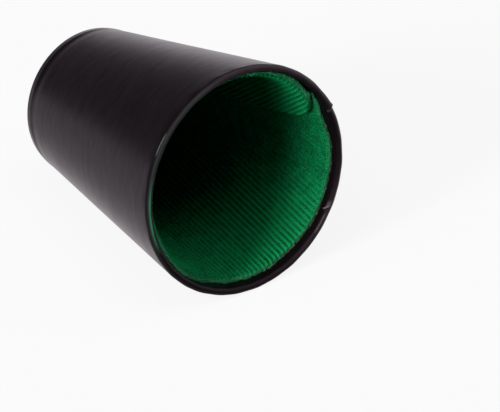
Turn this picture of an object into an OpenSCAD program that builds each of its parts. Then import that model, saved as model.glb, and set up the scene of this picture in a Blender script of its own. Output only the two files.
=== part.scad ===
// Leather-covered dice cup with a ribbed cloth lining, lying on its side.
// Every piece is drawn upright round the Z axis, base down, and then laid down
// with its mouth towards +X, resting along one line of its tapered wall.

/* [Cup] */
// Outside diameter at the rim, on the line of the wall
rim_d = 78; // [68:1:96]
// Outside diameter at the base, on the line of the wall
base_d = 51; // [44:1:60]
// Length along the axis, from the base to the top of the rim
cup_len = 92; // [74:1:120]

/* [Board] */
// Thickness of the board in the wall
wall_board_t = 1.5; // [1:0.1:2.5]
// Thickness of the board in the base
base_board_t = 2; // [1:0.1:4]
// Thickness of the card under the base lining
lining_card_t = 1; // [0.5:0.1:2]

/* [Leather] */
// Thickness of the leather
leather_t = 0.5; // [0.4:0.05:1]
// Outer radius of the fold round the edge of the base
fold_r = 2; // [1.4:0.1:4]
// Depth to which the leather is turned in over the rim
turn_in = 10; // [6:0.5:20]
// Width of the leather that is turned under the base
turn_under = 7; // [5:0.5:12]
// Length over which a turned edge is pared thin
pare_len = 3; // [1:0.5:4]
// Thickness left at a pared edge
pare_t = 0.2; // [0.1:0.05:0.35]
// Depth to which the leather is pressed flat along the line that the cup lies on
lie_flat = 0.15; // [0.05:0.05:0.3]

/* [Lap of the wall cover] */
// Place of the cut edge, in degrees round from the line that the cup lies on
lap_at = 113; // [60:1:300]
// Width of the lap at the rim
lap_w = 8; // [4:0.5:14]
// Height of the cut edge
lap_step = 0.3; // [0.1:0.05:0.5]
// Number of steps in which the lap is pared away from its cut edge
lap_steps = 2; // [1:1:2]

/* [Lining] */
// Thickness of the lining cloth, without its ribs
cloth_t = 1.8; // [1.2:0.1:3]
// Height of the ribs
rib_h = 0.4; // [0.2:0.05:0.8]
// Distance from rib to rib
rib_pitch = 1.7; // [1.4:0.1:4]
// How far the ribs are turned from the middle line of the sleeve's flat pattern
rib_turn = 4; // [0:1:8]
// How far the edge of the lining lies below the top of the rim
lining_drop = 1.6; // [1:0.1:5]
// Place of the seam, in degrees round from the line that the cup lies on
seam_at = 118; // [60:1:300]
// Width of the flap that covers the seam, at the rim
flap_w = 4; // [2:0.5:10]
// Thickness of the flap, without its ribs
flap_t = 0.9; // [0.5:0.1:1.5]
// Length over which the cloth rises onto the flap, at the rim
flap_rise = 9; // [5:0.5:16]
// How much deeper than the rest of the lining the flap ends
flap_set = 2; // [0:0.5:3]

/* [Fit] */
// Thickness of the glue between two pieces
glue_t = 0.05; // [0.02:0.01:0.15]
// Space between the flap and the ribs below it
flap_gap = 0.3; // [0.2:0.05:0.6]
// Space round the disc that closes the base of the lining
disc_gap = 0.2; // [0.1:0.05:0.6]

/* [Hidden] */
$fn = 128;

leather_colour = [0.17, 0.15, 0.16];
board_colour = [0.62, 0.56, 0.48];
cloth_colour = [0.10, 0.52, 0.34];

// The wall leans out from the axis by this angle
slope = atan((rim_d - base_d) / (2 * cup_len));

// Depths from the outer face of the leather, square to the wall
board_out = leather_t + glue_t;
board_in = board_out + wall_board_t;
shell_t = board_in + glue_t + leather_t;
cloth_face = board_in + glue_t + cloth_t;

// A point of the wall's section: from height z on the outer face, depth d inwards
function wall_pt(z, d) =
    [base_d / 2 + z * tan(slope) - d * cos(slope), z + d * sin(slope)];
// Radius at height z of the face that lies at depth d
function wall_r(z, d) = base_d / 2 + z * tan(slope) - d / cos(slope);

// The rim is a full round over the wall's whole thickness
crown_r = shell_t / 2;
crown_z = cup_len - crown_r * (1 + sin(slope));
crown_c = wall_pt(crown_z, crown_r);

// Heights in the base, from its outer face up
margin_z = leather_t + glue_t;
boards_z = margin_z + leather_t + glue_t;
card_z = boards_z + base_board_t + glue_t;
base_cloth_z = card_z + lining_card_t + glue_t;

// The fold round the base: one centre for the leather and for the board in it
fold_z = margin_z + fold_r;
fold_c = [wall_r(fold_z, fold_r), fold_z];
margin_r = base_d / 2 - turn_under;
turned_z = crown_z - turn_in;

// Takes the sharp corner off the base, outside radius r round the fold's centre
module corner_cut(r) {
    over = r + 1;
    difference() {
        polygon([fold_c, fold_c + [0, -over],
                 fold_c + over * [(1 - sin(slope)) / cos(slope), -1],
                 fold_c + over * [cos(slope), -sin(slope)]]);
        translate(fold_c) circle(r);
    }
}

// Section of all that lies inside the leather: the space that the boards fill
module leather_core() {
    core_z = margin_z + leather_t;
    difference() {
        union() {
            polygon([[0, core_z], [wall_r(core_z, leather_t), core_z],
                     wall_pt(crown_z, leather_t), wall_pt(crown_z, shell_t - leather_t),
                     wall_pt(boards_z, shell_t - leather_t), [0, cup_len / 2]]);
            translate(crown_c) circle(crown_r - leather_t);
        }
        corner_cut(fold_r - leather_t);
    }
}

// Section of the wall cover: up the wall, over the rim and under the base
module cover_section() {
    difference() {
        union() {
            polygon([[margin_r, boards_z], [margin_r, margin_z + leather_t - pare_t],
                     [margin_r + pare_len, margin_z], [wall_r(margin_z, 0), margin_z],
                     wall_pt(crown_z, 0), wall_pt(crown_z, shell_t),
                     wall_pt(turned_z + pare_len, shell_t),
                     wall_pt(turned_z, shell_t - leather_t + pare_t),
                     wall_pt(turned_z, crown_r), wall_pt(boards_z, crown_r)]);
            translate(crown_c) circle(crown_r);
        }
        corner_cut(fold_r);
        leather_core();
    }
}

// From the fold up the wall and over the top of the rim, raised by h from the leather
module lap_face(h) {
    out = [cos(slope), -sin(slope)];
    far = 4 * crown_r;
    polygon([fold_c, fold_c + (fold_r + h) * out, crown_c + (crown_r + h) * out, crown_c]);
    intersection() {
        translate(crown_c) circle(crown_r + h);
        polygon([crown_c, crown_c + far * out, crown_c + far * [1, 1], crown_c + [0, far]]);
    }
}

// One layer of the lap, set into the leather below it and raised by h
module lap_section(h) {
    difference() {
        lap_face(h);
        lap_face(-leather_t / 2);
    }
}

// Flat pattern of the lining: part of a ring, cut from cloth with straight ribs.
// Its x runs across the ribs and its y along them, from the tip of the cone.
lining_top = cup_len - lining_drop;
lining_foot = card_z + cloth_face * sin(slope);
rho_top = wall_r(lining_top, cloth_face) / sin(slope);
rho_foot = wall_r(lining_foot, cloth_face) / sin(slope);
turn_to_cone = 1 / sin(slope);
flap_turn = flap_w * 360 / (PI * rim_d);
rise_turn = flap_rise * 360 / (PI * rim_d);
cut_lo = rib_turn - 180 * sin(slope);
cut_hi = rib_turn + (180 + flap_turn) * sin(slope);
trim = 0.5;

// Slant distances at which every rib line has a point, foot to top
function rho_at(z) = wall_r(z, cloth_face) / sin(slope);
body_levels = 4;
levels = concat([for (k = [0:body_levels])
                     rho_foot + (rho_at(turned_z) - rho_foot) * k / body_levels],
                [rho_at(turned_z + pare_len), rho_top]);
last_level = len(levels) - 1;

// Lines along and between the ribs
rib_x = [for (x = rho_top * sin(cut_lo) + trim; x < rho_top * sin(cut_hi) - trim;
              x = x + rib_pitch / 2) x];

// Where the line at x starts and ends in the flat pattern
function line_end(x) =
    let (turn = (asin(x / rho_top) - cut_lo) * turn_to_cone,
         rho = rho_top - flap_set * on_flap(turn))
    sqrt(rho * rho - x * x);
function line_start(x) =
    let (side = x < 0 ? cut_lo : cut_hi, foot_x = abs(rho_foot * sin(side)))
    abs(x) < foot_x ? sqrt(rho_foot * rho_foot - x * x) : x / tan(side);
function line_y(x, k) =
    let (lo = line_start(x), hi = line_end(x), rho = levels[k],
         least = lo + (hi - lo) * k / (3 * last_level))
    k == last_level ? hi : max(rho > abs(x) ? sqrt(rho * rho - x * x) : 0, least);

// 0 on the body of the cloth and 1 on the flap, with a soft rise between
function on_flap(turn) =
    let (t = min(max((turn - 360 + rise_turn) / rise_turn, 0), 1)) t * t * (3 - 2 * t);
function mix(a, b, t) = a + (b - a) * t;

// How far the back of the cloth lies behind the foot of its ribs at height z
function cloth_back(z) =
    let (t = min(max((z - turned_z) / pare_len, 0), 1))
    cloth_face - mix(board_in + glue_t, shell_t + glue_t, t);

// From the flat pattern to the cup: out from the cloth's face by lift
function cone_pt(x, y, front, rib) =
    let (rho = norm([x, y]), turn = (atan2(x, y) - cut_lo) * turn_to_cone,
         z = (rho * sin(slope) - wall_r(0, cloth_face)) / tan(slope),
         flap = on_flap(turn),
         lift = front ? mix(0, rib_h + flap_gap + flap_t, flap) + rib
                      : mix(-cloth_back(z), rib_h + flap_gap, flap),
         r = rho * sin(slope) - lift * cos(slope), a = seam_at - turn)
    [r * cos(a), r * sin(a), z + lift * sin(slope)];

// Two triangles for a four-sided face
function quad(a, b, c, d) = [[a, b, c], [a, c, d]];

module ribbed_sleeve() {
    rows = len(levels);
    count = len(rib_x);
    back = rows * count;
    points = [for (front = [true, false]) for (i = [0:count - 1]) for (k = [0:last_level])
                  cone_pt(rib_x[i], line_y(rib_x[i], k), front, i % 2 == 1 ? rib_h : 0)];
    sheet = [for (i = [0:count - 2]) for (k = [0:last_level - 1])
                 let (p = i * rows + k, q = p + rows)
                 each concat(quad(p, p + 1, q + 1, q),
                             quad(back + p, back + q, back + q + 1, back + p + 1))];
    long_edges = [for (i = [0:count - 2])
                      let (p = i * rows, q = p + rows)
                      each concat(quad(p, q, back + q, back + p),
                                  quad(p + last_level, back + p + last_level,
                                       back + q + last_level, q + last_level))];
    end_edges = [for (k = [0:last_level - 1])
                     let (e = (count - 1) * rows + k)
                     each concat(quad(k, back + k, back + k + 1, k + 1),
                                 quad(e, e + 1, back + e + 1, back + e))];
    polyhedron(points, concat(sheet, long_edges, end_edges), convexity = 10);
}

// Saw-tooth section of a flat ribbed cloth of width w, lying on y = 0
module ribbed_section(w, t, h) {
    half = ceil(w / (2 * rib_pitch));
    polygon(concat([[-half * rib_pitch, 0]],
                   [for (i = [-2 * half:2 * half])
                        [i * rib_pitch / 2, t + (i % 2 == 0 ? 0 : h)]],
                   [[half * rib_pitch, 0]]));
}

// Lays the upright cup on its wall, mouth towards +X, centred over its own box
lie_z = base_d / 2 * cos(slope) - lie_flat;
lie_x_min = min(-fold_c[0] * sin(slope),
                fold_c[1] * cos(slope) - fold_c[0] * sin(slope) - fold_r);
lie_x_max = crown_c[1] * cos(slope) + crown_c[0] * sin(slope) + crown_r;
module lay_down() {
    translate([-(lie_x_min + lie_x_max) / 2, 0, lie_z])
        rotate([0, 90 - slope, 0]) children();
}

// All that lies below the face that the cup rests on
module below_rest() {
    side = 2 * cup_len;
    translate([-side / 2, -side / 2, -side]) cube(side);
}

module wall_board() {
    color(board_colour) lay_down() rotate_extrude() difference() {
        union() {
            polygon([[wall_r(boards_z, board_in), boards_z], [wall_r(boards_z, board_out), boards_z],
                     wall_pt(crown_z, board_out), wall_pt(crown_z, board_in)]);
            translate(crown_c) circle(wall_board_t / 2);
        }
        corner_cut(fold_r - board_out);
    }
}

module base_board() {
    depth = board_in + glue_t;
    top_z = boards_z + base_board_t;
    color(board_colour) lay_down() rotate_extrude()
        polygon([[0, boards_z], [wall_r(boards_z, depth), boards_z],
                 [wall_r(top_z, depth), top_z], [0, top_z]]);
}

module wall_cover() {
    lap_turn = lap_w * 360 / (PI * rim_d);
    color(leather_colour) difference() {
        lay_down() {
            rotate_extrude() cover_section();
            for (k = [1:lap_steps])
                rotate(lap_at) rotate_extrude(angle = lap_turn * (lap_steps + 1 - k) / lap_steps)
                    lap_section(lap_step * k / lap_steps);
        }
        below_rest();
    }
}

module base_filler() {
    color(board_colour) lay_down() translate([0, 0, margin_z])
        cylinder(h = leather_t, r = margin_r - disc_gap);
}

module base_cover() {
    color(leather_colour) lay_down() cylinder(h = leather_t, r = fold_c[0]);
}

module wall_lining() {
    color(cloth_colour) lay_down() ribbed_sleeve();
}

// Radius of the discs inside the lining at height z
function disc_r(z) = wall_r(z, cloth_face + rib_h) - disc_gap;

module lining_card() {
    color(board_colour) lay_down() translate([0, 0, card_z])
        cylinder(h = lining_card_t, r = disc_r(card_z));
}

module base_lining() {
    r = disc_r(base_cloth_z);
    color(cloth_colour) lay_down() translate([0, 0, base_cloth_z]) intersection() {
        cylinder(h = cloth_t + rib_h, r = r);
        translate([0, r + 1, 0]) rotate([90, 0, 0])
            linear_extrude(2 * r + 2) ribbed_section(2 * r, cloth_t, rib_h);
    }
}

wall_board();
base_board();
wall_cover();
base_filler();
base_cover();
wall_lining();
lining_card();
base_lining();
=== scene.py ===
"""Looks of a leather-covered dice cup with a ribbed cloth lining, lying on its side.

Every piece is made upright round the Z axis, base down, and then laid down onto the frame.
Turns round the cup are counted from the line that it lies on, anticlockwise as seen from the mouth.
Turns over the rim are counted in its section, from straight out (0) over the top to straight in (pi).
"""

import math
from types import SimpleNamespace

import bpy
import numpy as np
from mathutils import Matrix, Quaternion, Vector


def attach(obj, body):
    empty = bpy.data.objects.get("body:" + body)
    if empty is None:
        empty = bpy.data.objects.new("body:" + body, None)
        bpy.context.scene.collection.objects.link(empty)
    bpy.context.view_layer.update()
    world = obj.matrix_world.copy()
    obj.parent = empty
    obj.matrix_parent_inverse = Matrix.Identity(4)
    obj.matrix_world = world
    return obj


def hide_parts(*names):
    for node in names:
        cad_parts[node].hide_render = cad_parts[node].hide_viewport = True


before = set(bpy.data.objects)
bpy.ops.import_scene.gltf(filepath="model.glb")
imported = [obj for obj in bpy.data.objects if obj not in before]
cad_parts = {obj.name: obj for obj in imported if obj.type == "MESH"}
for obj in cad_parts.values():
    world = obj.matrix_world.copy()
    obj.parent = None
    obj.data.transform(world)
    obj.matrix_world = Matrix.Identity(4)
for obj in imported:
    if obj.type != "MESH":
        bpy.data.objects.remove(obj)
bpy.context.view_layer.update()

MM = 0.001
TURN = 2 * math.pi

# Sizes of the cup, as in the frame
RIM_D = 78 * MM
BASE_D = 51 * MM
CUP_LEN = 92 * MM
BOARD_T = 1.5 * MM
LEATHER_T = 0.5 * MM
GLUE_T = 0.05 * MM
FOLD_R = 2 * MM
TURN_IN = 10 * MM
TURN_UNDER = 7 * MM
PARE_LEN = 3 * MM
LIE_FLAT = 0.15 * MM
BASE_BOARD_T = 2 * MM
LINING_CARD_T = 1 * MM
CLOTH_T = 1.8 * MM
RIB_PITCH = 1.7 * MM
RIB_TURN = math.radians(4)
DISC_GAP = 0.2 * MM

# The lap of the leather and the seam of the lining, as in the frame
LAP_AT = math.radians(113)
LAP_W = 8 * MM
LAP_STEP = 0.3 * MM
SEAM_AT = math.radians(118)
FLAP_W = 4 * MM

# Worked out from those sizes
SLOPE = math.atan((RIM_D - BASE_D) / (2 * CUP_LEN))
SIN, COS, TAN = math.sin(SLOPE), math.cos(SLOPE), math.tan(SLOPE)
BOARD_IN = LEATHER_T + GLUE_T + BOARD_T
SHELL_T = BOARD_IN + GLUE_T + LEATHER_T
CLOTH_FACE = BOARD_IN + GLUE_T + CLOTH_T
CROWN_R = SHELL_T / 2
CROWN_Z = CUP_LEN - CROWN_R * (1 + SIN)
MARGIN_Z = LEATHER_T + GLUE_T
FOLD_Z = MARGIN_Z + FOLD_R
TURNED_Z = CROWN_Z - TURN_IN
BOARDS_Z = MARGIN_Z + LEATHER_T + GLUE_T
CARD_Z = BOARDS_Z + BASE_BOARD_T + GLUE_T
BASE_CLOTH_Z = CARD_Z + LINING_CARD_T + GLUE_T


def wall_pt(z, depth):
    """Radius and height of the point that lies in from the outer face at height z."""
    return BASE_D / 2 + z * TAN - depth * COS, z + depth * SIN


def wall_r(z, depth):
    """Radius, at height z, of the face that lies in from the outer face."""
    return BASE_D / 2 + z * TAN - depth / COS


CROWN_C = wall_pt(CROWN_Z, CROWN_R)
FOLD_C = (wall_r(FOLD_Z, FOLD_R), FOLD_Z)
LIE_X_MIN = min(-FOLD_C[0] * SIN, FOLD_C[1] * COS - FOLD_C[0] * SIN - FOLD_R)
LIE_X_MAX = CROWN_C[1] * COS + CROWN_C[0] * SIN + CROWN_R
LAID_TO = (-(LIE_X_MIN + LIE_X_MAX) / 2, 0, BASE_D / 2 * COS - LIE_FLAT)
LAID = Matrix.Translation(LAID_TO) @ Matrix.Rotation(math.pi / 2 - SLOPE, 4, "Y")


# Tools for shaping


def select_only(piece):
    bpy.ops.object.select_all(action="DESELECT")
    piece.select_set(True)
    bpy.context.view_layer.objects.active = piece


def edit_all():
    """Goes into edit mode with everything selected."""
    bpy.ops.object.mode_set(mode="EDIT")
    bpy.ops.mesh.select_all(action="SELECT")


def points_of(piece):
    points = np.empty(len(piece.data.vertices) * 3)
    piece.data.vertices.foreach_get("co", points)
    return points.reshape(-1, 3)


def put_points(piece, points):
    piece.data.vertices.foreach_set("co", points.reshape(-1))
    piece.data.update()


def normals_of(piece):
    normals = np.empty(len(piece.data.vertices) * 3)
    piece.data.vertex_normals.foreach_get("vector", normals)
    return normals.reshape(-1, 3)


def ease(t):
    """0 below 0 and 1 above 1, with a soft rise between."""
    t = np.clip(t, 0, 1)
    return t * t * (3 - 2 * t)


def band(x, start, end, rise, fall):
    """1 between start and end, with a soft rise after the start and a soft fall before the end."""
    return ease((x - start) / rise) * ease((end - x) / fall)


def bump_at(x, centre, width):
    """A round bump, 1 at its centre."""
    return np.exp(-(((x - centre) / width) ** 2))


def arc(centre, radius, start, end, steps):
    """Points of an arc in the section, angles counted from straight out towards the rim."""
    angles = [start + (end - start) * k / steps for k in range(steps + 1)]
    return [(centre[0] + radius * math.cos(a), centre[1] + radius * math.sin(a)) for a in angles]


def lathe(name, section, steps):
    """Draws the section from one point, step by step, and spins it round the cup's axis."""
    bpy.ops.object.select_all(action="DESELECT")
    bpy.ops.mesh.primitive_plane_add(size=MM, location=(0, 0, 0))
    piece = bpy.context.object
    piece.name = name
    edit_all()
    bpy.ops.mesh.merge(type="CENTER")
    bpy.ops.transform.translate(value=(section[0][0], 0, section[0][1]))
    for here, there in zip(section, section[1:]):
        step = (there[0] - here[0], 0, there[1] - here[1])
        bpy.ops.mesh.extrude_region_move(TRANSFORM_OT_translate={"value": step})
    bpy.ops.mesh.select_all(action="SELECT")
    bpy.ops.mesh.spin(steps=steps, angle=TURN, center=(0, 0, 0), axis=(0, 0, 1))
    bpy.ops.mesh.select_all(action="SELECT")
    bpy.ops.mesh.remove_doubles(threshold=0.002 * MM)
    bpy.ops.mesh.normals_make_consistent(inside=False)
    bpy.ops.object.mode_set(mode="OBJECT")
    return piece


def thicken(piece, thickness):
    """Gives a sheet its thickness, away from the side that it faces."""
    select_only(piece)
    solid = piece.modifiers.new("thickness", "SOLIDIFY")
    solid.thickness = thickness
    solid.offset = -1
    bpy.ops.object.modifier_apply(modifier=solid.name)


def face_outwards(piece):
    select_only(piece)
    edit_all()
    bpy.ops.mesh.normals_make_consistent(inside=False)
    bpy.ops.object.mode_set(mode="OBJECT")


def turn_round(piece, angle):
    """Turns a piece round the cup's axis, before it is laid down."""
    piece.data.transform(Matrix.Rotation(angle, 4, "Z"))


def lay_down(piece):
    select_only(piece)
    piece.matrix_world = LAID
    bpy.ops.object.transform_apply(location=True, rotation=True, scale=True)


def dress(piece, material, degrees):
    """Shades the piece smooth, but for edges sharper than the angle, and gives it its material."""
    select_only(piece)
    bpy.ops.object.shade_smooth_by_angle(angle=math.radians(degrees))
    piece.data.materials.append(material)
    return piece


def press_flat(piece):
    """Presses what would go below the table up to it, as the leather gives where it lies."""
    points = points_of(piece)
    points[:, 2] = np.maximum(points[:, 2], 0)
    put_points(piece, points)


def write_uv(piece, name, across, along, full=None):
    """Writes each point's place on the flat sheet, in metres, as a UV map. A full turn is joined up."""
    data = piece.data
    layer = data.uv_layers.new(name=name)
    corner = np.empty(len(data.loops), int)
    data.loops.foreach_get("vertex_index", corner)
    u, v = across[corner], along[corner]
    if full:
        starts = np.empty(len(data.polygons), int)
        data.polygons.foreach_get("loop_start", starts)
        counts = np.diff(np.append(starts, len(corner)))
        highest = np.repeat(np.maximum.reduceat(u, starts), counts)
        u = np.where(highest - u > full / 2, u + full, u)
    layer.data.foreach_set("uv", np.column_stack([u, v]).reshape(-1))


def write_mask(piece, name, values):
    """Writes a share from 0 to 1 for each point, which the piece's material reads."""
    mask = piece.data.attributes.new(name, "FLOAT", "POINT")
    mask.data.foreach_set("value", values.astype(np.float32))


# Tools for materials


def set_up(node, **values):
    """Sets a node. Names in small letters are its settings, the others are its inputs."""
    for key, value in values.items():
        if key.islower():
            setattr(node, key, value)
        else:
            node.inputs[key.replace("_", " ")].default_value = value
    return node


def add(tree, kind, **values):
    return set_up(tree.nodes.new(kind), **values)


def feed(tree, place, value):
    """Links an input to another node's output, or sets it to a plain value."""
    if isinstance(value, bpy.types.NodeSocket):
        tree.links.new(value, place)
    else:
        place.default_value = value


def maths(tree, operation, *values):
    node = add(tree, "ShaderNodeMath", operation=operation)
    for place, value in zip(node.inputs, values):
        feed(tree, place, value)
    return node.outputs["Value"]


def vector_maths(tree, operation, *values):
    node = add(tree, "ShaderNodeVectorMath", operation=operation)
    for place, value in zip(node.inputs, values):
        feed(tree, place, value)
    return node.outputs["Value" if operation in ("DOT_PRODUCT", "DISTANCE") else "Vector"]


def remap(tree, value, from_range, to_range=(0.0, 1.0)):
    """Brings a value from one range into another, and holds it at the ends."""
    node = add(tree, "ShaderNodeMapRange", From_Min=from_range[0], From_Max=from_range[1])
    set_up(node, To_Min=to_range[0], To_Max=to_range[1])
    tree.links.new(value, node.inputs["Value"])
    return node.outputs["Result"]


# Places of a mix node's two inputs and of its output
MIX_PLACES = {"FLOAT": (2, 3, 0), "RGBA": (6, 7, 2)}


def blend(tree, share, first, second, kind="RGBA"):
    """Mixes two colours, or two values: the first at a share of 0, the second at 1."""
    node = add(tree, "ShaderNodeMix", data_type=kind)
    first_at, second_at, out_at = MIX_PLACES[kind]
    for place, value in ((0, share), (first_at, first), (second_at, second)):
        feed(tree, node.inputs[place], value)
    return node.outputs[out_at]


def blend_shaders(tree, share, first, second):
    node = tree.nodes.new("ShaderNodeMixShader")
    for place, output in enumerate((share, first, second)):
        tree.links.new(output, node.inputs[place])
    return node.outputs[0]


def weighted(tree, *parts, start=0.0):
    """Adds values together, each times its own weight."""
    total = start
    for value, weight in parts:
        total = maths(tree, "MULTIPLY_ADD", value, weight, total)
    return total


def bumped(tree, height, strength, distance, below=None):
    """Normals of a surface with that relief, over the relief below it if there is one."""
    node = add(tree, "ShaderNodeBump", Strength=strength, Distance=distance)
    tree.links.new(height, node.inputs["Height"])
    if below is not None:
        tree.links.new(below, node.inputs["Normal"])
    return node.outputs[0]


def noise(tree, place, scale, detail, roughness):
    node = add(tree, "ShaderNodeTexNoise", Detail=detail, Roughness=roughness)
    tree.links.new(place, node.inputs["Vector"])
    feed(tree, node.inputs["Scale"], scale)
    return node.outputs["Fac"]


def mask(tree, name):
    """Reads a mask that write_mask wrote."""
    return add(tree, "ShaderNodeAttribute", attribute_name=name).outputs["Fac"]


def flat_place(tree, name):
    """Reads a UV map that write_uv wrote."""
    return add(tree, "ShaderNodeUVMap", uv_map=name).outputs["UV"]


def new_group(name, takes, gives):
    """A node group with the sockets that it takes, each of a kind, and the values that it gives."""
    group = bpy.data.node_groups.new(name, "ShaderNodeTree")
    for socket, kind in takes.items():
        group.interface.new_socket(socket, in_out="INPUT", socket_type="NodeSocket" + kind)
    for socket in gives:
        group.interface.new_socket(socket, in_out="OUTPUT", socket_type="NodeSocketFloat")
    taken = group.nodes.new("NodeGroupInput").outputs
    given = group.nodes.new("NodeGroupOutput").inputs
    return group, taken, given


def place_group(tree, group, **values):
    """Places a node group in a material and gives back its outputs."""
    node = add(tree, "ShaderNodeGroup", node_tree=group)
    for socket, value in values.items():
        feed(tree, node.inputs[socket], value)
    return node.outputs


def new_material(name):
    material = bpy.data.materials.new(name)
    material.use_nodes = True
    return material, material.node_tree, material.node_tree.nodes["Principled BSDF"]


# Materials


def uneven_group():
    """Slow and fine unevenness of a surface, from its own flat coordinates in metres."""
    takes = {"Flat": "Vector", "Slow": "Float", "Fine": "Float", "Stretch": "Float"}
    group, taken, given = new_group("uneven_surface", takes, ("Slow", "Fine"))
    pull = add(group, "ShaderNodeCombineXYZ", Y=1.0, Z=1.0)
    group.links.new(taken["Stretch"], pull.inputs["X"])
    stretched = vector_maths(group, "MULTIPLY", taken["Flat"], pull.outputs[0])
    for size, place, detail in (("Slow", stretched, 3.0), ("Fine", taken["Flat"], 5.0)):
        group.links.new(noise(group, place, taken[size], detail, 0.55), given[size])
    return group


UNEVEN = uneven_group()

# Tones of the leather
LEATHER_DARK = (0.0036, 0.0023, 0.0031, 1)
LEATHER_LIGHT = (0.0056, 0.0037, 0.0049, 1)
# a painted highlight, drawn as pale scuffed leather on the rim's creases and cut edges
LEATHER_PAINTED_HIGHLIGHT = (0.36, 0.32, 0.32, 1)
# a painted grey reflection on the inner rim, tinted green by fluff
GREY_REFLECTION_AND_LINT = (0.019, 0.033, 0.027, 1)
# the lining's green fuzz, painted bright as lit on the rim beside it
PAINTED_LIT_FUZZ_GREEN = (0.060, 0.360, 0.190, 1)
LEATHER_GLOSS_TINT = (1.0, 0.8, 0.94, 1)


def black_leather():
    """Smooth black leather with a soft gloss, a fine grain and faint bands where it was pulled round."""
    material, tree, skin = new_material("black_leather")
    flat = flat_place(tree, "leather")
    marks = place_group(tree, UNEVEN, Flat=flat, Slow=220.0, Fine=2600.0, Stretch=0.22)
    pulled = place_group(tree, UNEVEN, Flat=flat, Slow=480.0, Fine=1100.0, Stretch=0.3)
    colour = blend(tree, marks["Slow"], LEATHER_DARK, LEATHER_LIGHT)
    # painted highlight along the creases and cut edges of the rim, drawn as pale scuffed leather
    painted_highlight_share = maths(tree, "MULTIPLY", mask(tree, "painted_highlight"), pulled["Fine"])
    colour = blend(tree, painted_highlight_share, colour, LEATHER_PAINTED_HIGHLIGHT)
    # on the rim beside the lining: a painted grey reflection with a green tint of fluff, and the green fuzz
    # of the lining painted as lit
    colour = blend(tree, mask(tree, "painted_reflection_lint"), colour, GREY_REFLECTION_AND_LINT)
    colour = blend(tree, mask(tree, "lit_green_fuzz"), colour, PAINTED_LIT_FUZZ_GREEN)
    tree.links.new(colour, skin.inputs["Base Color"])
    gloss = remap(tree, marks["Slow"], (0.0, 1.0), (0.24, 0.36))
    tree.links.new(gloss, skin.inputs["Roughness"])
    # duller where it is masked so
    sheen = remap(tree, pulled["Slow"], (0.35, 0.65), (0.43, 0.57))
    left_over = maths(tree, "MULTIPLY_ADD", mask(tree, "dull"), -0.6, 1.0)
    level = maths(tree, "MULTIPLY", sheen, left_over)
    tree.links.new(level, skin.inputs["Specular IOR Level"])
    height = weighted(tree, (marks["Slow"], 1.0), (pulled["Slow"], 0.35), (pulled["Fine"], 0.12))
    slow_bump = bumped(tree, height, 0.5, 0.12 * MM)
    grain = bumped(tree, marks["Fine"], 0.5, 0.04 * MM, below=slow_bump)
    tree.links.new(grain, skin.inputs["Normal"])
    set_up(skin, IOR=1.43, Specular_Tint=LEATHER_GLOSS_TINT)
    return material


# Distance from knot to knot along a rib
KNOT_PITCH = 0.85 * MM


def knit_group():
    """Rows of small knots along the ribs of the cloth, from its flat pattern in metres."""
    group, taken, given = new_group("knit_knots", {"Flat": "Vector"}, ("Knot", "Fluff", "Shade"))
    cells = vector_maths(group, "MULTIPLY", taken["Flat"], (1 / RIB_PITCH, 1 / KNOT_PITCH, 1))
    knots = add(group, "ShaderNodeTexVoronoi", voronoi_dimensions="2D", Scale=1.0, Randomness=0.55)
    group.links.new(cells, knots.inputs["Vector"])
    group.links.new(remap(group, knots.outputs["Distance"], (0.75, 0.05)), given["Knot"])
    for socket, scale, detail in (("Fluff", 2600.0, 4.0), ("Shade", 240.0, 3.0)):
        group.links.new(noise(group, taken["Flat"], scale, detail, 0.6), given[socket])
    return group


KNIT = knit_group()

# Tones of the cloth. The dark one is partly painted shade, between the ribs and further into the cup, and the
# cut edge's tone is partly painted light
CLOTH_DARK = (0.0012, 0.080, 0.0230, 1)
CLOTH_LIGHT = (0.0050, 0.290, 0.0900, 1)
CLOTH_FLUFF = (0.060, 0.460, 0.220, 1)
# the paler cut edge, made lighter still as painted light
CLOTH_CUT_AND_LIGHT = (0.070, 0.470, 0.205, 1)
CLOTH_BACKING = (0.140, 0.200, 0.125, 1)
CLOTH_SHEEN = (0.05, 0.8, 0.3, 1)


def green_ribbed_cloth():
    """Thick green knit: lighter and fluffier on top of the ribs, with painted shade in the valleys and
    further into the cup, paler where it is cut, which is partly painted light.
    """
    material, tree, cloth = new_material("green_ribbed_cloth")
    knit = place_group(tree, KNIT, Flat=flat_place(tree, "cloth"))
    # brightest on the ribs, on each knot and where the fluff stands up; the darker valleys between the ribs
    # are partly painted shade
    bright = weighted(
        tree,
        (mask(tree, "rib_top_and_valley_shade"), 0.9),
        (knit["Knot"], 0.5),
        (knit["Fluff"], 2.3),
        (knit["Shade"], 1.1),
        start=-1.74,
    )
    colour = blend(tree, bright, CLOTH_DARK, CLOTH_LIGHT)
    # pale tips of fluff stand out here and there
    tips = remap(tree, knit["Fluff"], (0.55, 0.72), (0.0, 0.55))
    colour = blend(tree, tips, colour, CLOTH_FLUFF)
    # the cut edge's pale tone, partly painted light, with painted light and shade along the mouth
    colour = blend(tree, mask(tree, "cut_edge_and_light"), colour, CLOTH_CUT_AND_LIGHT)
    colour = blend(tree, mask(tree, "backing"), colour, CLOTH_BACKING)
    tree.links.new(colour, cloth.inputs["Base Color"])
    height = weighted(tree, (knit["Knot"], 0.6), (knit["Fluff"], 1.0))
    tree.links.new(bumped(tree, height, 0.9, 0.22 * MM), cloth.inputs["Normal"])
    set_up(cloth, Roughness=0.95, Specular_IOR_Level=0.0)
    set_up(cloth, Sheen_Weight=0.12, Sheen_Roughness=0.5, Sheen_Tint=CLOTH_SHEEN)
    return material


BOARD_DARK = (0.22, 0.18, 0.13, 1)
BOARD_LIGHT = (0.42, 0.36, 0.28, 1)


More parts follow.
